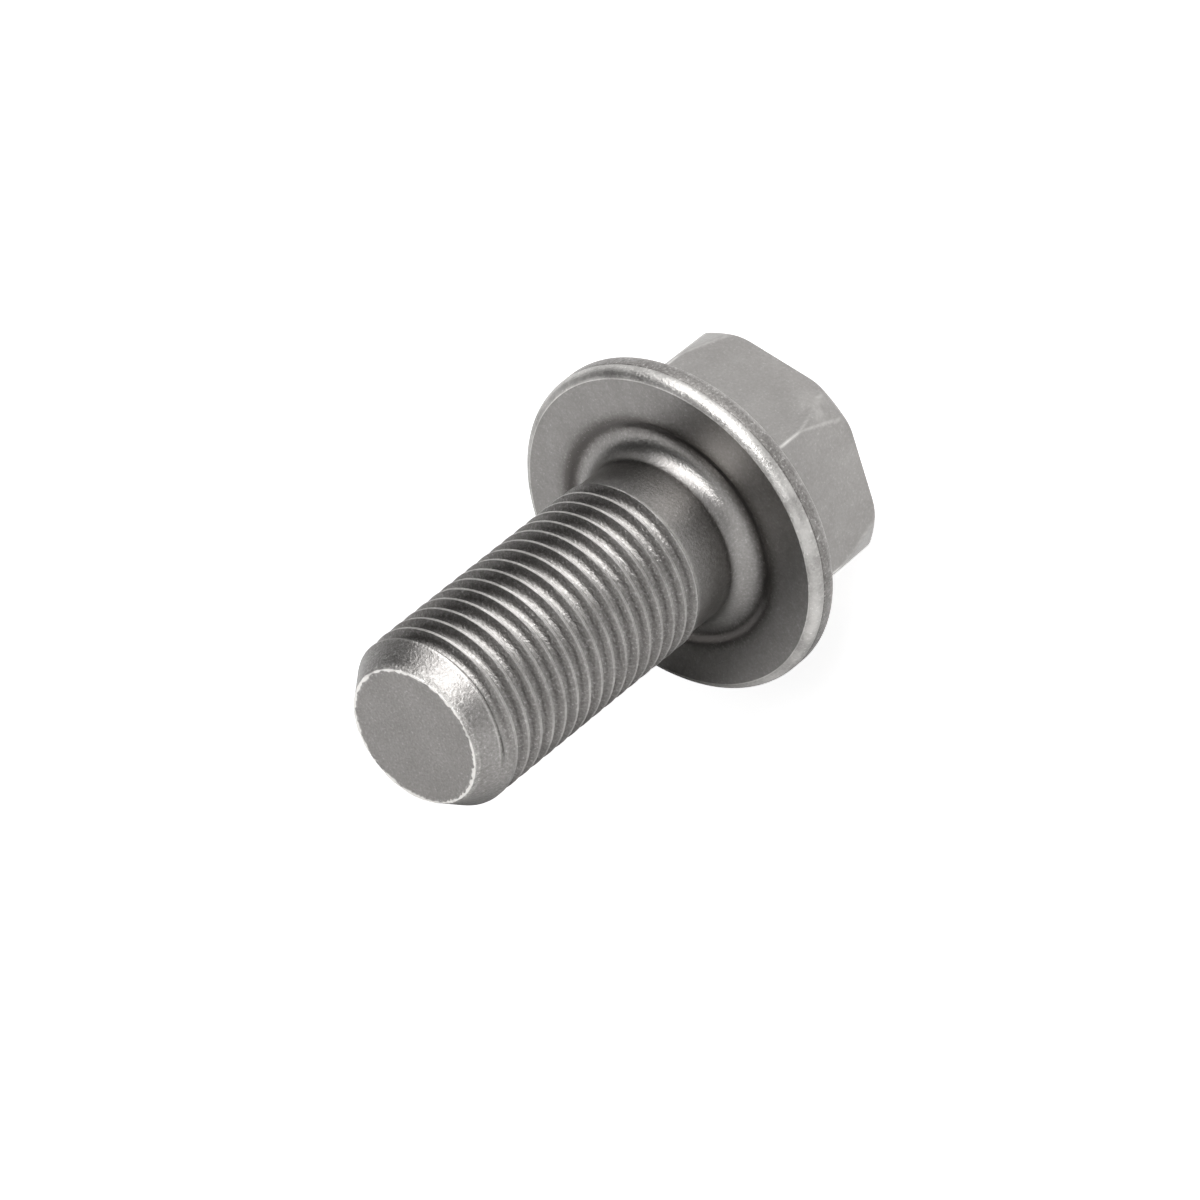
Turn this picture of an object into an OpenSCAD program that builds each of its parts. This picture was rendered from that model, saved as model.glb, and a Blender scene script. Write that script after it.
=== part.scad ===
// Hex flange bolt with a fine left-hand thread, standing on its head.
// The axis is Z, z = 0 is the top face of the head, and the tip points up.
// The thread is a true helix, so its stretch and the chamfer at the tip are faceted.

/* [Thread] */
// Diameter over the thread crests
thread_d = 9.84; // [9:0.02:12]
// Length from the tip face to the end of the thread
thread_len = 17.2; // [8:0.1:36]
// Distance from one thread crest to the next
pitch = 1; // [0.9:0.05:1.5]
// Depth of the thread, from its crest to its root
thread_depth = 0.61; // [0.4:0.01:0.7]
// Width of the flat along the thread crest
crest_w = 0.14; // [0.06:0.01:0.2]
// Width of the flat along the thread root
root_w = 0.15; // [0.06:0.01:0.2]
// Distance from the tip face down to the first crest, on the +X side
lead_in = 0.37; // [0.3:0.01:0.6]

/* [Neck] */
// Diameter of the smooth neck
neck_d = 9.5; // [7.5:0.02:9.6]
// Length of the smooth neck, from the bearing face to the thread
neck_len = 3.8; // [2:0.1:20]

/* [Tip] */
// Diameter of the flat face at the tip
tip_d = 7.7; // [4:0.05:8.8]
// Length of the chamfer round the tip face
tip_chamfer = 1.6; // [0.4:0.05:2.5]

/* [Flange] */
// Diameter of the flange over its rim
flange_d = 19; // [18.4:0.1:26]
// Radial width of the rounded edge between the bearing face and the rim
rim_round_w = 0.5; // [0.2:0.05:0.6]
// Height of the rounded edge between the bearing face and the rim
rim_round_h = 0.65; // [0.3:0.05:1]
// Thickness of the flange at its rim
rim_h = 1.5; // [1.1:0.05:3]
// Slope of the back of the flange, in degrees
back_slope = 24; // [10:1:35]

/* [Groove under the flange] */
// Diameter of the shallow groove round the neck, at its bottom
groove_d = 12.4; // [11.6:0.1:14]
// Depth of the groove below the bearing face
groove_depth = 0.13; // [0.05:0.01:0.4]
// Radius of the groove's outer side
groove_round = 0.6; // [0.5:0.05:1.2]
// Height of the concave sweep from the groove's bottom up to the neck
sweep_h = 1.06; // [0.5:0.02:1.3]

/* [Head] */
// Width of the head across its flats
across_flats = 13.9; // [13.4:0.1:16]
// Height from the top of the head to the bearing face
head_h = 8.15; // [6:0.05:14]
// Diameter over the rounded corners of the hexagon
corners_d = 15.84; // [15.5:0.02:16]
// Height of the tapered crown that trims the corners at the top
crown_h = 2.9; // [1.5:0.05:4]
// How much the crown takes off the corners on its way up
crown_taper = 0.32; // [0.1:0.02:0.4]
// Radius of the rounding round the top face
top_round = 0.6; // [0.2:0.05:0.6]

/* [Hidden] */
$fn = 96;
// How far shapes that are joined reach into each other
eps = 0.05;
thread_r = thread_d / 2;
root_r = thread_r - thread_depth;
neck_r = neck_d / 2;
tip_r = tip_d / 2;
flange_r = flange_d / 2;
bearing_r = flange_r - rim_round_w;
groove_r = groove_d / 2;
// Radius of the sweep, level at the groove's bottom and cut off by the neck
sweep_w = groove_r - neck_r;
sweep_r = (sweep_w * sweep_w + sweep_h * sweep_h) / (2 * sweep_h);
flat_r = across_flats / 2;
corner_r = corners_d / 2;
crown_r = corner_r - crown_taper;
// Heights above the top face of the head
bearing_z = head_h;
groove_z = bearing_z - groove_depth;
ridge_z = bearing_z - rim_round_h;
rim_z = bearing_z - rim_h;
back_z = rim_z - (flange_r - flat_r) * tan(back_slope);
thread_z = bearing_z + neck_len;
tip_z = thread_z + thread_len;
// Arc that leaves the rim upright and meets the edge of the bearing face
rim_arc_r = (rim_round_w * rim_round_w + rim_round_h * rim_round_h) / (2 * rim_round_w);
// Sides of the faceted thread
thread_sides = 40;
// Turns along the helix where the groove starts and ends, and the turns it takes to reach its depth
groove_start = 0.77;
groove_end = (thread_len - lead_in) / pitch - 0.5;
fade_turns = 0.25;
// Rows of points along the helix, four to a turn: both edges of the crest, then both of the root
row_drop = [-crest_w / 2, crest_w / 2, (pitch - root_w) / 2, (pitch + root_w) / 2];
row_count = 4 * ceil(groove_end + 0.5);
// Least height between two rows where the thread ends, and the radius of its end face
row_gap = 0.03;
thread_end_r = (thread_r + neck_r) / 2;

// Height of a row at a part of a turn. The thread is left-hand: seen from the tip, a row goes down
// as it turns anticlockwise
function row_z(row, turn) = max(
    tip_z - lead_in - row_drop[row % 4] - pitch * (floor(row / 4) + turn),
    thread_z + row_gap * (row_count - row)
);

function chamfer_r(z) = tip_r + (tip_z - z) * (thread_r - tip_r) / tip_chamfer;

// Share of its full depth that the thread's groove has, a number of turns along the helix
function groove_share(turns) =
    max(0, min(1, (turns - groove_start) / fade_turns, (groove_end - turns) / fade_turns));

function row_r(row, turn) =
    let (crest_r = min(thread_r, chamfer_r(row_z(row, turn))),
         depth = row % 4 < 2 ? 0 : max(0, crest_r - root_r))
    crest_r - depth * groove_share(floor(row / 4) + turn);

function ring_point(r, z, side) =
    let (angle = 360 * side / thread_sides) [r * cos(angle), r * sin(angle), z];

// Thread and chamfer as one closed surface: a ring at the tip face, the rows, a ring at the neck
module threaded_end() {
    n = thread_sides;
    last = n * (row_count + 1);
    points = concat(
        [for (side = [0:n - 1]) ring_point(tip_r, tip_z, side)],
        [for (row = [0:row_count - 1], side = [0:n - 1])
            ring_point(row_r(row, side / n), row_z(row, side / n), side)],
        [for (side = [0:n - 1]) ring_point(thread_end_r, thread_z, side)]
    );
    // Each column of points is joined to the next one
    sides = [for (row = [0:row_count], side = [0:n - 2])
        let (a = n * row + side)
        each [[a, a + 1, a + n + 1], [a, a + n + 1, a + n]]];
    // After a full turn each row meets the row four below it. What is left over fans out from the
    // last point of the ring at the tip, and from the first point of the ring at the neck
    seam = [for (row = [1:row_count - 4])
        let (a = n * row + n - 1, b = n * (row + 4))
        each [[a, b, b + n], [a, b + n, a + n]]];
    tip_fan = concat([for (row = [0:4]) [n - 1, n * row, n * (row + 1)]], [[n - 1, 5 * n, 2 * n - 1]]);
    neck_fan = [for (row = [row_count - 3:row_count]) [last, n * (row + 2) - 1, n * (row + 1) - 1]];
    tip_face = [for (side = [n - 1:-1:0]) side];
    neck_face = [for (side = [0:n - 1]) last + side];
    polyhedron(points, concat([tip_face, neck_face], sides, seam, tip_fan, neck_fan));
}

// Half section of the neck, which reaches a little into the thread
module neck_section() {
    translate([0, groove_z - eps])
        square([neck_r, thread_z - groove_z + 2 * eps]);
}

// Half section of the concave sweep from the groove to the neck
module sweep_section() {
    difference() {
        translate([neck_r - eps, groove_z - eps])
            square([sweep_w + eps, sweep_h + eps]);
        translate([groove_r, groove_z + sweep_r])
            circle(r = sweep_r);
    }
}

// Half section of the groove, cut out of the flange
module groove_section() {
    translate([0, groove_z])
        square([groove_r, groove_depth + eps]);
    intersection() {
        translate([groove_r, groove_z + groove_round])
            circle(r = groove_round);
        translate([groove_r - eps, groove_z])
            square([groove_round + eps, groove_depth + eps]);
    }
}

// Half section of the flange, with its sloping back, rounded edge and groove
module flange_section() {
    difference() {
        union() {
            polygon([
                [0, back_z],
                [flat_r, back_z],
                [flange_r, rim_z],
                [flange_r, ridge_z],
                [bearing_r, ridge_z],
                [bearing_r, bearing_z],
                [0, bearing_z]
            ]);
            intersection() {
                translate([flange_r - rim_arc_r, ridge_z])
                    circle(r = rim_arc_r);
                translate([bearing_r - eps, ridge_z - eps])
                    square([rim_round_w + eps, rim_round_h + eps]);
            }
        }
        groove_section();
    }
}

// Half section of the crown, which tapers the corners and rounds the top edge
module crown_section() {
    polygon([
        [0, top_round],
        [crown_r, top_round],
        [corner_r, crown_h],
        [corner_r + eps, crown_h],
        [corner_r + eps, rim_z],
        [0, rim_z]
    ]);
    square([crown_r - top_round, top_round + eps]);
    intersection() {
        translate([crown_r - top_round, top_round])
            circle(r = top_round);
        translate([crown_r - top_round - eps, 0])
            square(top_round + eps);
    }
}

module shank() {
    rotate_extrude() {
        neck_section();
        sweep_section();
    }
    threaded_end();
}

module flange() {
    rotate_extrude() flange_section();
}

module hex_head() {
    intersection() {
        linear_extrude(height = rim_z)
            circle(r = flat_r / cos(30), $fn = 6);
        rotate_extrude() crown_section();
    }
}

module bolt() {
    color([0.52, 0.51, 0.49]) {
        shank();
        flange();
        hex_head();
    }
}

bolt();
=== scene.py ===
"""Looks of a forged and thread-rolled hex flange bolt that stands on its head, tip up. Millimetres."""
import math

import bpy
import numpy as np
from mathutils import Matrix, Vector


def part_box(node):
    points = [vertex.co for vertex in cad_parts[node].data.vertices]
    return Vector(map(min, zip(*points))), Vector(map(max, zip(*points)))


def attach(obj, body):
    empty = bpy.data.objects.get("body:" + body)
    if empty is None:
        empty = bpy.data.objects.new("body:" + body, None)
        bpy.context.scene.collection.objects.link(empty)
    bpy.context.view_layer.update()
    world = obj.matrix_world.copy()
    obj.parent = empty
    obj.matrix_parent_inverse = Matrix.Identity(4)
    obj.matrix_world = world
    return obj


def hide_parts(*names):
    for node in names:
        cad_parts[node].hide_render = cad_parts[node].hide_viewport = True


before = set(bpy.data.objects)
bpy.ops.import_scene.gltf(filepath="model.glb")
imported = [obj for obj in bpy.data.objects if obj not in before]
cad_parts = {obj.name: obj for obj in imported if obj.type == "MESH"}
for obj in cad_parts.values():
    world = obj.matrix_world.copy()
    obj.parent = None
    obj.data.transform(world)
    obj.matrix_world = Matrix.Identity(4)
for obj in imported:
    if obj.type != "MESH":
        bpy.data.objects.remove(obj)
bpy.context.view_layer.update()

MM = 0.001

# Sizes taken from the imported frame
BOX_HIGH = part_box("bolt")[1]
TIP_Z = BOX_HIGH[2] / MM
RIM_R = BOX_HIGH[0] / MM

# Hexagon: angle from one corner to the next, and half of it
SECTOR = math.pi / 3
HALF_SECTOR = math.pi / 6

# Head
FLAT_R = 6.95
CORNER_R = 7.92
CORNER_BLEND = 0.42
CROWN_R = 7.6
CROWN_H = 2.9
CROWN_BLEND = 0.08
TOP_ROUND = 0.6
EDGE_ROUND = 0.15

# Pale patch on one corner of the head
PATCH_AZIMUTH = math.radians(-56.5)
PATCH_Z = 1.7
PATCH_W = 0.7
PATCH_H = 0.8

# Flange
BEARING_Z = 8.15
RIM_ROUND_W = 0.5
RIM_ROUND_H = 0.65
RIM_ROUND_ROWS = 14
RIM_H = 1.5
RIM_LINE_DEPTH = 0.03
BACK_INSET = 0.14
BACK_SLOPE = math.radians(24)
BACK_FILLET = 0.5
BACK_REACH = BACK_FILLET * math.tan((math.pi / 2 - BACK_SLOPE) / 2)

# Groove round the neck, with a sweep up to the neck inside and a rounded side outside
GROOVE_R = 6.05
GROOVE_DEPTH = 0.15
GROOVE_SIDE_W = 0.6
SWEEP_H = 1.08
NECK_R = 4.75

# Thread, left-hand: going round anticlockwise seen from the tip, a crest goes down
CREST_R = 4.92
PITCH = 1.0
LEAD_IN = 0.37
FLANK_SLOPE = math.tan(math.radians(60))
CREST_SEAM = 0.02
# Distances from the middle of a crest over which the flank begins, and over which it flattens out
FLANK_START = (0.04, 0.1)
ROOT_START = (0.27, 0.52)
# Turns along the helix where the groove starts and ends, and the turns it takes to fade
GROOVE_START = 0.64
GROOVE_END = 16.33
FADE_IN_TURNS = 0.12
FADE_OUT_TURNS = 0.25
# Places of the rows from one crest to the next, in turns, close together at the crest and its seam
PLACES = np.array([-0.42, -0.34, -0.25, -0.16, -0.1, -0.07, -0.04, 0.0, 0.04, 0.07, 0.1, 0.25, 0.38, 0.5])

# End of the thread on the neck: an edge with one soft wave, lowest at a sixth of a turn
THREAD_END_Z = TIP_Z - 17.2
THREAD_END_EDGE = 0.12
THREAD_END_DROP = 0.17
THREAD_END_WAVE = 0.12
THREAD_END_TURN = 1 / 6
NECK_TOP_Z = THREAD_END_Z - 0.32

# Tip
TIP_R = 3.85
TIP_CHAMFER = 1.6
TIP_DISH = 0.04
THREAD_TOP_Z = TIP_Z - 0.3
BURR_W = 0.13
BURR_SPREAD = 0.05
# Radius of the circle along which the lumps of the burr are drawn
BURR_CIRCLE = 40

# Depth of the soft unevenness of the forging
UNEVEN = 0.012

# How sandy each stretch of the surface is
HEAD_GRIT = 0.25
BACK_GRIT = 0.35
RIM_GRIT = 0.85
BEARING_GRIT = 0.3
NECK_GRIT = 0.45
THREAD_GRIT = 0.65
CHAMFER_GRIT = 1.4
BURR_GRIT = 1.0
TIP_FACE_GRIT = 0.4

# Grid: columns round the axis, in six sectors from corner to corner
SECTOR_COLUMNS = 40
CORNER_PULL = 0.8

# Mesh: points that round to the same step are one, and edges bent by more than the angle are sharp
WELD_STEP = 1e-5
SHARP_ANGLE = math.radians(35)

# Colours of the steel
FINISH_DARK = "858381"
FINISH_PALE = "9F9D9B"
# Dark colour of the pits, also the colour of the painted shade
PIT_AND_SHADE = "5C5957"
BARE = "E2E0DD"

# Floor: how brightly it glows, and the share of the glow that the metal sees
FLOOR_SIZE = 400
FLOOR_GLOW = 0.84
FLOOR_IN_METAL = 0.86

# Card on the bolt's shaded side: its direction, and the distance of its plane from the origin
CARD_SIZE = 300
CARD_SIDE = (-0.9585, 0.1808, 0.2201)
CARD_DISTANCE = 11.0

# Direction of the brighter part of the studio's wall
FRONT_SIDE = (-0.08, -0.95, 0.3)
LAMP_DISTANCE = 300

# Camera of the photo, in the bolt's frame
CAMERA_TARGET = (-0.433, -0.266, 14.41)
CAMERA_AZIMUTH = -58.407
CAMERA_ELEVATION = 38.65
CAMERA_ROLL = 128.87
CAMERA_DISTANCE = 402.5
CAMERA_LENS = 236.5
CAMERA_SENSOR = 36.0


def column_angles():
    """Angles of the columns in radians, closing column included. In each sector of 60 degrees the
    angle is 30 + 30 * ((1 - k) * u + k * sin(90 * u)) degrees, with u from -1 to 1."""
    u = np.linspace(-1.0, 1.0, SECTOR_COLUMNS + 1)[:-1]
    spread = (1 - CORNER_PULL) * u + CORNER_PULL * np.sin(u * math.pi / 2)
    sector = np.radians(30 + 30 * spread)
    angles = np.concatenate([sector + k * math.pi / 3 for k in range(6)])
    return np.append(angles, 2 * math.pi)


THETA = column_angles()


def smooth_min(a, b, k):
    """Smaller of a and b, with a rounded meeting k wide: b + (a - b) * h - k * h * (1 - h)."""
    h = np.clip(0.5 + 0.5 * (b - a) / k, 0.0, 1.0)
    return b + (a - b) * h - k * h * (1 - h)


def smooth_step(x, low, high):
    """Goes from 0 to 1 as x goes from low to high, by t * t * (3 - 2 * t)."""
    t = np.clip((x - low) / (high - low), 0.0, 1.0)
    return t * t * (3 - 2 * t)


def ramp(x, low, high):
    """Integral of smooth_step: 0 below low, then (t ** 3 - t ** 4 / 2) * (high - low), then straight."""
    t = np.clip((x - low) / (high - low), 0.0, 1.0)
    return (high - low) * (t ** 3 - t ** 4 / 2) + np.clip(x - high, 0.0, None)


def lumps(x, y, z, size, seed):
    """Soft lumps from -1 to 1: random values on a lattice of the given size, joined by smooth steps
    along each direction."""
    count = 32
    table = np.random.default_rng(seed).uniform(-1, 1, (count, count, count))
    points = np.stack([x, y, z]) / size
    cell = np.floor(points).astype(int)
    part = points - cell
    part = part * part * (3 - 2 * part)
    total = 0.0
    for corner in range(8):
        step = [(corner >> axis) & 1 for axis in range(3)]
        weight = 1.0
        for axis in range(3):
            weight = weight * (part[axis] if step[axis] else 1 - part[axis])
        index = [(cell[axis] + step[axis]) % count for axis in range(3)]
        total = total + weight * table[index[0], index[1], index[2]]
    return total


def hexagon(theta):
    """Radius of the hexagon with rounded corners: flat_r / cos(angle from the nearest flat), rounded
    where the two nearest flats meet."""
    near = np.mod(theta, SECTOR)
    one = FLAT_R / np.cos(near - HALF_SECTOR)
    other = FLAT_R / np.cos(np.minimum(near, SECTOR - near) + HALF_SECTOR)
    return smooth_min(one, other, CORNER_BLEND)


def crown(z):
    """Radius of the turned envelope of the head: a round top edge, then a straight taper."""
    inside = np.clip(TOP_ROUND - z, 0.0, TOP_ROUND)
    round_part = CROWN_R - TOP_ROUND + np.sqrt(TOP_ROUND ** 2 - inside ** 2)
    taper = (CORNER_R - CROWN_R) / (CROWN_H - TOP_ROUND)
    return round_part + np.clip(z - TOP_ROUND, 0.0, None) * taper


def head_side(theta, z):
    """Radius of the head at height z: the hexagon, rounded at its top edge, inside the crown."""
    inside = np.clip(EDGE_ROUND - z, 0.0, EDGE_ROUND)
    drop = EDGE_ROUND - np.sqrt(EDGE_ROUND ** 2 - inside ** 2)
    return smooth_min(hexagon(theta) - drop, crown(z), CROWN_BLEND)


def rows(values):
    """A column of row values that spreads over all the grid's columns."""
    return np.asarray(values, float)[:, None] + 0.0 * THETA[None, :]


def band(r, z, grit, wear=0.0, painted_shade=0.0):
    """One stretch of the surface: radius, height, how gritty, how worn and how much painted shade it gets,
    as row by column arrays."""
    r = r + 0.0 * THETA[None, :]
    z = z + 0.0 * r
    return r, z, grit + 0.0 * r, wear + 0.0 * r, painted_shade + 0.0 * r


def line(distance, width):
    """A mark along a line: 1 on it, fading out as exp(-(distance / width) ** 2)."""
    return np.exp(-(distance / width) ** 2)


def top_face():
    """Flat top of the head: radius grows from the middle to the edge of the head's side at z = 0."""
    share = rows([0.0, 0.2, 0.4, 0.6, 0.8, 0.9, 0.97])
    return band(share * head_side(THETA, 0.0), 0.0, HEAD_GRIT)


def head_sides():
    """Sides of the head up to where the fillet at the flange starts. Its corners are worn near the
    flange, and so are the curved edges where the crown meets the flats. One corner has a patch."""
    round_z = [0.0, 0.005, 0.02, 0.05, 0.09, 0.15, 0.22, 0.31, 0.42, 0.55]
    crown_z = rows(np.concatenate([round_z, np.arange(0.7, CROWN_H + 1.1, 0.16)]))
    last_z = crown_z[-1]
    fillet_z = back_height(hexagon(THETA)) - BACK_REACH
    side_z = last_z + rows([0.25, 0.5, 0.75]) * (fillet_z - last_z)
    z = np.concatenate([crown_z, side_z])
    near = np.mod(THETA, SECTOR)
    from_corner = np.minimum(near, SECTOR - near) * CORNER_R
    sharp = FLAT_R / np.cos(near - HALF_SECTOR)
    corner_wear = 0.75 * line(from_corner, width=0.07) * smooth_step(z, low=3.4, high=3.9)
    crown_wear = 0.3 * line(sharp - crown(z), width=0.04) * smooth_step(z, low=0.3, high=0.7)
    around = np.mod(THETA - PATCH_AZIMUTH + math.pi, 2 * math.pi) - math.pi
    patch = line(np.hypot(around * CORNER_R / PATCH_W, (z - PATCH_Z) / PATCH_H), width=1.0)
    side = head_side(THETA, z)
    broken = lumps(side * np.cos(THETA), side * np.sin(THETA), z, size=0.4, seed=7)
    patch = patch * np.clip(0.6 + broken, 0, 1)
    wear = np.maximum(np.maximum(corner_wear, crown_wear), 0.3 * patch)
    return band(side, z, HEAD_GRIT, wear)


def back_height(r):
    """Height of the flange's sloping back at radius r."""
    return BEARING_Z - RIM_H - (RIM_R - r) * math.tan(BACK_SLOPE)


def flange_back():
    """Fillet from the head's side to the sloping back, then the slope to the rim. The fillet's arc
    turns from straight up to the slope of the back."""
    corner = hexagon(THETA)
    turn = np.radians(np.linspace(0.0, 90 - math.degrees(BACK_SLOPE), 6))[:, None]
    arc_r = corner + BACK_FILLET * (1 - np.cos(turn))
    arc_z = back_height(corner) - BACK_REACH + BACK_FILLET * np.sin(turn)
    edge = RIM_R - BACK_INSET
    share = rows([0.25, 0.5, 0.75, 1.0])
    slope_r = arc_r[-1] + share * (edge - arc_r[-1])
    slope_z = back_height(slope_r)
    return band(np.concatenate([arc_r, slope_r]), np.concatenate([arc_z, slope_z]), BACK_GRIT)


def rim():
    """Rear edge, side band, a fine line round it, and the rounded front edge up to the bearing
    face. The rear edge and the front rounding are worn bright, and along the middle of the rounding
    the wear is raised into a painted highlight band. The side band carries painted shade, darkest
    at the fine line."""
    rear = BEARING_Z - RIM_H
    ridge = BEARING_Z - RIM_ROUND_H
    arc_r = (RIM_ROUND_W ** 2 + RIM_ROUND_H ** 2) / (2 * RIM_ROUND_W)
    angle = np.linspace(0.0, math.asin(RIM_ROUND_H / arc_r), RIM_ROUND_ROWS)
    front_r = RIM_R - arc_r + arc_r * np.cos(angle)
    front_z = ridge + arc_r * np.sin(angle)
    # Wear on the front rounding, raised along its middle as a painted highlight band
    front_wear_and_highlight = 0.35 + 0.25 * np.sin(np.linspace(0.0, math.pi, RIM_ROUND_ROWS))
    front_wear_and_highlight[-1] = 0.8
    side_r = [RIM_R - 0.05, RIM_R, RIM_R, RIM_R, RIM_R - RIM_LINE_DEPTH]
    side_z = [rear + 0.01, rear + 0.07, rear + 0.3, ridge - 0.1, ridge - 0.05]
    side_wear = [1.0, 0.3, 0.1, 0.1, 0.0]
    # Painted shade on the side band, darkest at the fine line round it
    side_painted_shade = [0.0, 0.3, 0.4, 0.4, 0.6]
    r = np.concatenate([side_r, front_r])
    z = np.concatenate([side_z, front_z])
    wear = np.concatenate([side_wear, front_wear_and_highlight])
    painted_shade = np.concatenate([side_painted_shade, 0 * front_wear_and_highlight])
    return band(rows(r), rows(z), RIM_GRIT, rows(wear), rows(painted_shade))


def bearing_face():
    """Flat ring from the rim to the groove, then the groove's outer side, which eases down to its
    bottom as a smooth step. Painted shade darkens it a little all over, and most over the groove's
    side."""
    edge_r = GROOVE_R + GROOVE_SIDE_W
    face_r = np.linspace(RIM_R - RIM_ROUND_W - 0.02, edge_r + 0.03, 9)
    side_r = np.linspace(edge_r, GROOVE_R, 15)
    r = np.concatenate([face_r, side_r])
    depth = GROOVE_DEPTH * (1 - smooth_step(r, GROOVE_R, edge_r))
    # Painted shade: a ring over the groove's outer side, plus a little over the whole face
    ring = line(r - GROOVE_R - 0.6 * GROOVE_SIDE_W, 0.8 * GROOVE_SIDE_W)
    return band(rows(r), rows(BEARING_Z - depth), BEARING_GRIT, 0.0, rows(0.12 + ring))


def neck():
    """Concave sweep, an arc that is level at the groove's bottom and meets the neck at a crease,
    then the smooth neck. Painted shade darkens it at the crease and in the groove."""
    reach = GROOVE_R - NECK_R
    sweep_r = (reach ** 2 + SWEEP_H ** 2) / (2 * SWEEP_H)
    angle = np.linspace(0.0, math.asin(reach / sweep_r), 18)[1:]
    arc_r = GROOVE_R - sweep_r * np.sin(angle)
    arc_z = BEARING_Z - GROOVE_DEPTH + sweep_r * (1 - np.cos(angle))
    neck_z = np.linspace(arc_z[-1] + 0.05, NECK_TOP_Z, 8)
    r = np.concatenate([arc_r, neck_z * 0 + NECK_R])
    z = np.concatenate([arc_z, neck_z])
    # Painted shade at the crease and in the groove's bottom
    painted_shade = 0.6 * line(z - arc_z[-1], width=0.12) + 0.5 * line(r - GROOVE_R, width=0.25)
    return band(rows(r), rows(z), NECK_GRIT, 0.0, rows(painted_shade))


def chamfer(z):
    """Radius of the chamfer at the tip at height z."""
    return TIP_R + (TIP_Z - z) * (CREST_R - TIP_R) / TIP_CHAMFER


def thread_end(turn):
    """Height of the edge where the thread ends on the neck: one soft wave round, by a cosine."""
    wave = THREAD_END_WAVE * np.cos(2 * math.pi * (turn - THREAD_END_TURN))
    return THREAD_END_Z - THREAD_END_DROP - wave


def thread():
    """Thread as rows that follow the helix, from the neck to the tip. A crest lies at
    TIP_Z - LEAD_IN - PITCH * turns, with turns counted along the helix from +X. Rows that would
    pass either end are gathered there. After a full turn a row meets the one a pitch below it.
    The edge where the thread ends is worn bright."""
    turn = THETA / (2 * math.pi)
    count = math.ceil(GROOVE_END + 0.5) + 1
    turns = np.arange(count, -2, -1)[:, None] - PLACES[None, :]
    turns = np.sort(turns.ravel())[::-1]
    z = TIP_Z - LEAD_IN - PITCH * (turns[:, None] + turn)
    end = thread_end(turn)
    z = np.clip(z, end + THREAD_END_EDGE, THREAD_TOP_Z)
    r, crest, flank = thread_radius(z, turn)
    start_r = np.stack([NECK_R + 0 * end, r[0] - 0.03])
    start_z = np.stack([end, end + 0.7 * THREAD_END_EDGE])
    start_wear = np.stack([0.5 + 0 * end, 1.0 + 0 * end])
    r = np.concatenate([start_r, r])
    z = np.concatenate([start_z, z])
    wear = np.concatenate([start_wear, crest])
    # Painted shade on the flanks
    painted_shade = np.concatenate([0 * start_wear, flank])
    return band(r, z, THREAD_GRIT, wear, painted_shade)


def thread_radius(z, turn):
    """Radius of the thread at height z, how worn its crests are and how much painted shade its flanks
    get. Away from a crest the depth grows by ramp(away, *FLANK_START) - ramp(away, *ROOT_START),
    times the flank's slope, which gives a small crest and a wide round root. A rolled crest has a
    fine seam along its middle. The chamfer cuts the thread, and its groove fades in and out."""
    turns = (TIP_Z - LEAD_IN - z) / PITCH - turn
    away = np.abs(turns - np.round(turns)) * PITCH
    depth = FLANK_SLOPE * (ramp(away, *FLANK_START) - ramp(away, *ROOT_START))
    depth = depth + CREST_SEAM * line(away, width=0.025)
    level = np.minimum(CREST_R, chamfer(z))
    along = np.floor(turns) + turn
    share = smooth_step(along, GROOVE_START, GROOVE_START + FADE_IN_TURNS)
    share = share * (1 - smooth_step(along, GROOVE_END - FADE_OUT_TURNS, GROOVE_END))
    cut = np.clip(level - (CREST_R - depth), 0.0, None)
    crest = 0.35 * line(away - 0.05, width=0.04) * (level > CREST_R - 0.45) * share
    # Painted shade on the flanks, between crest and root
    flank = 0.75 * line(away - 0.18, width=0.08) * share
    return level - cut * share, crest, flank


def tip():
    """Chamfer above the thread, the ragged bright burr round its edge, and the face, a little below
    the burr. The rows of the burr go from its outer edge over its ridge to its inner edge."""
    z = np.linspace(TIP_Z - 0.25, TIP_Z - 0.05, 4)
    x = BURR_CIRCLE * np.cos(THETA)
    y = BURR_CIRCLE * np.sin(THETA)
    coarse = lumps(x, y, 0 * x, size=6.0, seed=3)
    fine = lumps(x, y, 0 * x, size=1.5, seed=4)
    ragged = np.clip(0.5 + 0.5 * coarse + 0.6 * fine, 0.0, 1.0)
    edge_r = TIP_R + BURR_SPREAD * ragged
    inner_r = TIP_R - BURR_W * (0.3 + 1.2 * ragged)
    burr_r = np.stack([edge_r, 0.6 * edge_r + 0.4 * inner_r, 0.3 * edge_r + 0.7 * inner_r, inner_r])
    ridge = np.array([[0.6], [1.0], [0.9], [0.0]])
    burr_z = TIP_Z - TIP_DISH * (1 - (0.3 + 0.7 * ragged) * ridge)
    burr_wear = 1.2 + 0.6 * ragged
    burr_wear = np.stack([burr_wear, burr_wear, burr_wear, 0.3 * ragged])
    face = np.array([3.6, 3.3, 2.8, 2.2, 1.4, 0.7, 0.0])
    r = np.concatenate([rows(chamfer(z)), burr_r, rows(face)])
    high = np.concatenate([rows(z), burr_z, rows(face * 0 + TIP_Z - TIP_DISH)])
    wear = np.concatenate([rows([0.25, 0.25, 0.25, 0.5]), burr_wear, rows(face * 0)])
    chamfer_grit = rows(z * 0 + CHAMFER_GRIT)
    grit = np.concatenate([chamfer_grit, burr_r * 0 + BURR_GRIT, rows(face * 0 + TIP_FACE_GRIT)])
    # The face is made a little darker all over through the painted shade layer
    painted_shade = np.concatenate([0 * z, 0 * burr_z[:, 0], face * 0 + 0.2])
    return band(r, high, grit, wear, rows(painted_shade))


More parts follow.
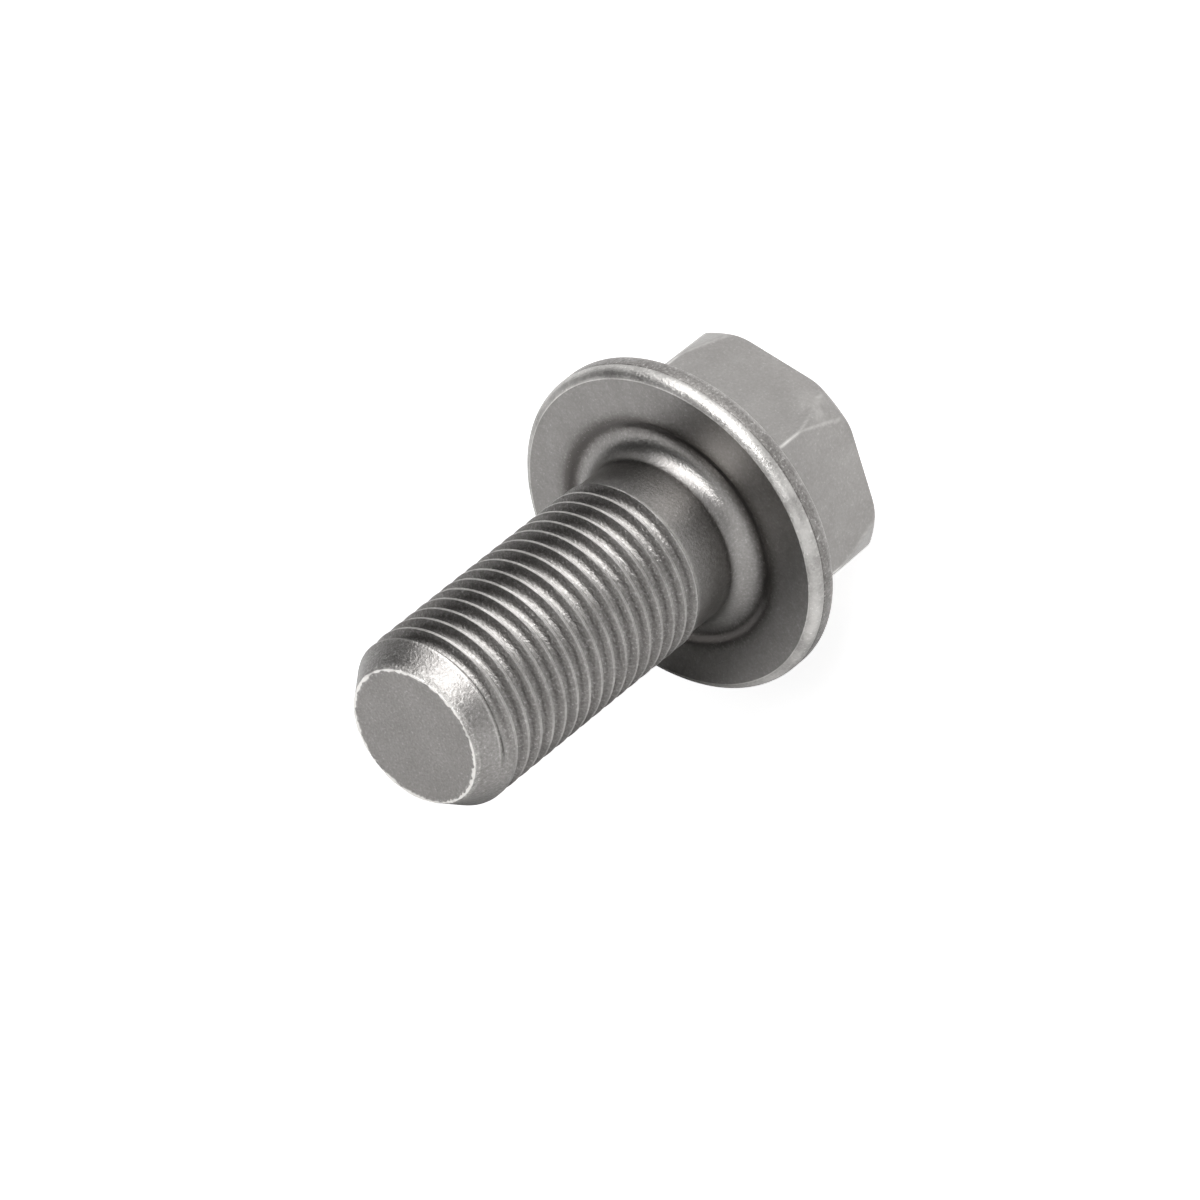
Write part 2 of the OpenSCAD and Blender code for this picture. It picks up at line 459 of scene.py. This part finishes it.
def bolt_surface():
    """Stacks the bands from the middle of the head's top to the middle of the tip, adds the soft
    unevenness of a forging, and gives the points, their three layers, and the triangles between
    neighbouring rows and columns."""
    parts = [top_face(), head_sides(), flange_back(), rim(), bearing_face(), neck(), thread(), tip()]
    r, z, *marks = (np.concatenate([part[k] for part in parts]) for k in range(5))
    x = r * np.cos(THETA)
    y = r * np.sin(THETA)
    forged = (z > 0.3) & (z < THREAD_END_Z) & (r < RIM_R - 0.15)
    uneven = lumps(x, y, z, size=2.2, seed=1) * 0.6 + lumps(x, y, z, size=0.9, seed=2) * 0.4
    r = r + np.where(forged, UNEVEN * uneven, 0.0)
    points = np.stack([r * np.cos(THETA), r * np.sin(THETA), z], axis=-1)
    # The closing column: a row of the thread meets the row a pitch below, any other row itself
    pitch_rows = len(PLACES)
    first = sum(len(part[0]) for part in parts[:-2]) + 2
    last = len(r) - len(parts[-1][0]) - pitch_rows
    points[:first, -1] = points[:first, 0]
    points[first:first + pitch_rows, -1] = points[first, 0]
    points[first + pitch_rows:last + pitch_rows, -1] = points[first:last, 0]
    points[last + pitch_rows:, -1] = points[last + pitch_rows:, 0]
    count, width = r.shape
    index = np.arange(count * width).reshape(count, width)
    a, b = index[:-1, :-1].ravel(), index[:-1, 1:].ravel()
    c, d = index[1:, 1:].ravel(), index[1:, :-1].ravel()
    triangles = np.concatenate([np.stack([a, b, c], 1), np.stack([a, c, d], 1)])
    layers = {name: values.ravel() for name, values in zip(("grit", "wear", "painted_shade"), marks)}
    return points.reshape(-1, 3), layers, triangles


def closed_mesh(name, points, layers, triangles):
    """Mesh in metres with equal points made one and empty triangles left out."""
    key = np.round(points / WELD_STEP).astype(np.int64)
    _, keep, back = np.unique(key, axis=0, return_index=True, return_inverse=True)
    corners = back.reshape(-1)[triangles]
    real = (corners != np.roll(corners, 1, axis=1)).all(axis=1)
    corners = corners[real]
    mesh = bpy.data.meshes.new(name)
    mesh.vertices.add(len(keep))
    mesh.vertices.foreach_set("co", (points[keep] * MM).astype(np.float32).ravel())
    mesh.loops.add(3 * len(corners))
    mesh.loops.foreach_set("vertex_index", corners.astype(np.int32).ravel())
    mesh.polygons.add(len(corners))
    mesh.polygons.foreach_set("loop_start", np.arange(0, 3 * len(corners), 3, dtype=np.int32))
    mesh.polygons.foreach_set("use_smooth", np.ones(len(corners), bool))
    mesh.update(calc_edges=True)
    for layer_name, values in layers.items():
        layer = mesh.attributes.new(layer_name, "FLOAT", "POINT")
        layer.data.foreach_set("value", values[keep].astype(np.float32))
    mesh.set_sharp_from_angle(angle=SHARP_ANGLE)
    mesh.validate()
    piece = bpy.data.objects.new(name, mesh)
    bpy.context.scene.collection.objects.link(piece)
    return piece


def linear(hex_colour):
    """An sRGB hex colour as linear red, green, blue and alpha."""
    value = int(hex_colour, 16)
    parts = [((value >> shift) & 255) / 255 for shift in (16, 8, 0)]
    return [p / 12.92 if p <= 0.04045 else ((p + 0.055) / 1.055) ** 2.4 for p in parts] + [1.0]


def add(tree, kind, settings=(), inputs=()):
    """Adds a node, sets its settings, and sets or links its inputs."""
    node = tree.nodes.new(kind)
    for name, value in dict(settings).items():
        setattr(node, name, value)
    for name, value in dict(inputs).items():
        if isinstance(value, bpy.types.NodeSocket):
            tree.links.new(value, node.inputs[name])
        else:
            node.inputs[name].default_value = value
    return node


def empty_tree(owner):
    """Node tree of a new material or world, with nothing in it."""
    owner.use_nodes = True
    owner.node_tree.nodes.clear()
    return owner.node_tree


def noise(tree, place, grain, detail, roughness):
    """Noise from 0 to 1 with a grain of the given size in millimetres."""
    inputs = {"Vector": place, "Scale": 1 / (grain * MM), "Detail": detail, "Roughness": roughness}
    return add(tree, "ShaderNodeTexNoise", {"noise_dimensions": "3D"}, inputs).outputs["Fac"]


def mark(tree, name):
    """One of the mesh's layers: grit, wear or painted shade."""
    return add(tree, "ShaderNodeAttribute", {"attribute_name": name}).outputs["Fac"]


def remap(tree, value, given, wanted, kind="LINEAR"):
    """The value, moved from the given range to the wanted one and held at its ends."""
    ends = {"From Min": given[0], "From Max": given[1], "To Min": wanted[0], "To Max": wanted[1]}
    node = add(tree, "ShaderNodeMapRange", {"interpolation_type": kind}, {"Value": value, **ends})
    return node.outputs["Result"]


def combine(tree, operation, one, other, clamp=False):
    """Two values added or multiplied, and held from 0 to 1 where asked."""
    settings = {"operation": operation, "use_clamp": clamp}
    return add(tree, "ShaderNodeMath", settings, {0: one, 1: other}).outputs[0]


def tint(tree, factor, one, other):
    """A colour that goes from one to the other as the factor goes from 0 to 1."""
    inputs = {"Factor": factor, 6: one, 7: other}
    return add(tree, "ShaderNodeMix", {"data_type": "RGBA"}, inputs).outputs[2]


def phosphated_steel():
    """Forged steel with a thin grey phosphate finish: a softly shining, nearly neutral mid grey
    metal. Where it is gritty it is rougher and sandy, with dark pits and light flecks. Edges and
    thread crests are worn through in patches to brighter bare steel. The mesh's painted shade
    layer darkens the colour towards the pit colour where shade is painted."""
    material = bpy.data.materials.new("phosphated_steel")
    tree = empty_tree(material)
    place = add(tree, "ShaderNodeTexCoord").outputs["Object"]
    sand = noise(tree, place, grain=0.15, detail=3.0, roughness=0.7)
    cloud = noise(tree, place, grain=1.8, detail=4.0, roughness=0.6)
    grit = mark(tree, "grit")
    worn = mark(tree, "wear")
    painted_shade = mark(tree, "painted_shade")
    finish = tint(tree, cloud, linear(FINISH_DARK), linear(FINISH_PALE))
    dark = remap(tree, sand, (0.62, 0.32), (0.0, 0.8))
    pits = combine(tree, "MULTIPLY", dark, grit)
    # Painted shade from the mesh darkens the colour towards the pit colour, like the pits
    pits = combine(tree, "ADD", pits, painted_shade, clamp=True)
    pitted_and_shaded = tint(tree, pits, finish, linear(PIT_AND_SHADE))
    patchy = remap(tree, cloud, (0.35, 0.6), (0.4, 1.0))
    bare = combine(tree, "MULTIPLY", worn, patchy)
    glint = remap(tree, sand, (0.6, 0.75), (0.0, 0.6))
    flecks = combine(tree, "MULTIPLY", glint, grit)
    bare = combine(tree, "ADD", bare, flecks, clamp=True)
    colour = tint(tree, bare, pitted_and_shaded, linear(BARE))
    rough = remap(tree, grit, (0.0, 1.0), (0.25, 0.37))
    bump = add(tree, "ShaderNodeBump", {}, {"Strength": grit, "Distance": 0.05 * MM, "Height": sand})
    surface = {"Base Color": colour, "Metallic": 1.0, "Roughness": rough, "Normal": bump.outputs["Normal"]}
    shader = add(tree, "ShaderNodeBsdfPrincipled", {}, surface)
    add(tree, "ShaderNodeOutputMaterial", {}, {"Surface": shader.outputs["BSDF"]})
    return material


def flat_sheet(name, corners, material):
    """A flat four-cornered sheet."""
    mesh = bpy.data.meshes.new(name)
    mesh.from_pydata([tuple(corner) for corner in corners], [], [(0, 1, 2, 3)])
    mesh.materials.append(material)
    sheet = bpy.data.objects.new(name, mesh)
    bpy.context.scene.collection.objects.link(sheet)
    return sheet


def white_floor():
    """Matt white floor with the bolt's soft shadow. The camera sees it glow white, and so does the
    metal, a little dimmer."""
    size = FLOOR_SIZE * MM
    material = bpy.data.materials.new("white_floor")
    tree = empty_tree(material)
    path = add(tree, "ShaderNodeLightPath")
    matt = add(tree, "ShaderNodeBsdfDiffuse", {}, {"Color": linear("E6E6E6")})
    glow = add(tree, "ShaderNodeEmission", {}, {"Color": linear("FFFFFF"), "Strength": FLOOR_GLOW})
    bright = add(tree, "ShaderNodeAddShader", {}, {0: matt.outputs[0], 1: glow.outputs[0]})
    shares = {0: path.outputs["Is Glossy Ray"], 1: FLOOR_IN_METAL, 2: path.outputs["Is Camera Ray"]}
    shown = add(tree, "ShaderNodeMath", {"operation": "MULTIPLY_ADD"}, shares)
    sides = {"Fac": shown.outputs[0], 1: matt.outputs[0], 2: bright.outputs[0]}
    mix = add(tree, "ShaderNodeMixShader", {}, sides)
    add(tree, "ShaderNodeOutputMaterial", {}, {"Surface": mix.outputs[0]})
    corners = [(-size, -size, 0), (size, -size, 0), (size, size, 0), (-size, size, 0)]
    floor = flat_sheet("floor", corners, material)


def side_card():
    """White card along the bolt's shaded side, where the tabletop is in the photo. Only the metal
    sees it, with the bolt's shadow on it."""
    size = CARD_SIZE * MM
    normal = Vector(CARD_SIDE).normalized()
    turn = (-normal).to_track_quat("Z", "Y").to_matrix()
    middle = normal * CARD_DISTANCE * MM
    square = ((-1, -1), (1, -1), (1, 1), (-1, 1))
    corners = [middle + turn @ Vector((a * size, b * size, 0)) for a, b in square]
    material = bpy.data.materials.new("white_card")
    tree = empty_tree(material)
    matt = add(tree, "ShaderNodeBsdfDiffuse", {}, {"Color": linear("F6F6F6")})
    add(tree, "ShaderNodeOutputMaterial", {}, {"Surface": matt.outputs[0]})
    card = flat_sheet("side_card", corners, material)
    card.visible_camera = False
    card.visible_diffuse = False
    card.visible_shadow = False


def studio_world():
    """Dim studio, darker overhead, so that the metal has something dark to show, and brighter in
    front. The camera sees it plain white."""
    world = bpy.data.worlds.new("studio")
    bpy.context.scene.world = world
    tree = empty_tree(world)
    path = add(tree, "ShaderNodeLightPath")
    direction = add(tree, "ShaderNodeTexCoord").outputs["Generated"]
    height = add(tree, "ShaderNodeSeparateXYZ", {}, {"Vector": direction}).outputs["Z"]
    level = remap(tree, height, (0.05, 0.55), (0.2, 0.03), "SMOOTHSTEP")
    product = {"operation": "DOT_PRODUCT"}
    facing = add(tree, "ShaderNodeVectorMath", product, {0: direction, 1: FRONT_SIDE})
    front = remap(tree, facing.outputs["Value"], (0.5, 0.95), (0.0, 0.5), "SMOOTHSTEP")
    total = combine(tree, "ADD", level, front)
    around = add(tree, "ShaderNodeBackground", {}, {"Color": linear("FFFFFF"), "Strength": total})
    seen = add(tree, "ShaderNodeBackground", {}, {"Color": linear("FFFFFF"), "Strength": 1.0})
    sides = {"Fac": path.outputs["Is Camera Ray"], 1: around.outputs[0], 2: seen.outputs[0]}
    mix = add(tree, "ShaderNodeMixShader", {}, sides)
    add(tree, "ShaderNodeOutputWorld", {}, {"Surface": mix.outputs[0]})


def toward(azimuth, elevation):
    """Unit vector that points at an azimuth and an elevation, both in degrees."""
    a, e = math.radians(azimuth), math.radians(elevation)
    return Vector((math.cos(a) * math.cos(e), math.sin(a) * math.cos(e), math.sin(e)))


def soft_lamp(name, azimuth, elevation, size, power):
    """A square lamp of the given size that faces the middle of the bolt from a direction."""
    away = toward(azimuth, elevation)
    light = bpy.data.lights.new(name, "AREA")
    light.shape = "SQUARE"
    light.size = size * MM
    light.energy = power
    lamp = bpy.data.objects.new(name, light)
    lamp.location = Vector((0, 0, TIP_Z / 2 * MM)) + away * LAMP_DISTANCE * MM
    lamp.rotation_mode = "QUATERNION"
    lamp.rotation_quaternion = (-away).to_track_quat("-Z", "Y")
    bpy.context.scene.collection.objects.link(lamp)


def photo_camera():
    """Camera at the photo's angle: it looks at the target and is turned about its own axis."""
    away = toward(CAMERA_AZIMUTH, CAMERA_ELEVATION)
    data = bpy.data.cameras.new("camera")
    data.sensor_width = CAMERA_SENSOR
    data.lens = CAMERA_LENS
    data.clip_start, data.clip_end = 0.01, 10.0
    camera = bpy.data.objects.new("camera", data)
    camera.rotation_mode = "QUATERNION"
    camera.location = (Vector(CAMERA_TARGET) + away * CAMERA_DISTANCE) * MM
    turn = (-away).to_track_quat("-Z", "Y").to_matrix()
    roll = Matrix.Rotation(-math.radians(CAMERA_ROLL), 3, "Z")
    camera.rotation_quaternion = (turn @ roll).to_quaternion()
    bpy.context.scene.collection.objects.link(camera)
    bpy.context.scene.camera = camera


bolt = closed_mesh("bolt_steel", *bolt_surface())
bolt.data.materials.append(phosphated_steel())
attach(bolt, "root")
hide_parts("bolt")

white_floor()
side_card()
studio_world()
soft_lamp("key_lamp", azimuth=-14, elevation=15, size=250, power=0.84)
soft_lamp("front_lamp", azimuth=-37, elevation=40, size=130, power=0.42)
photo_camera()
bpy.context.scene.view_settings.view_transform = "Standard"
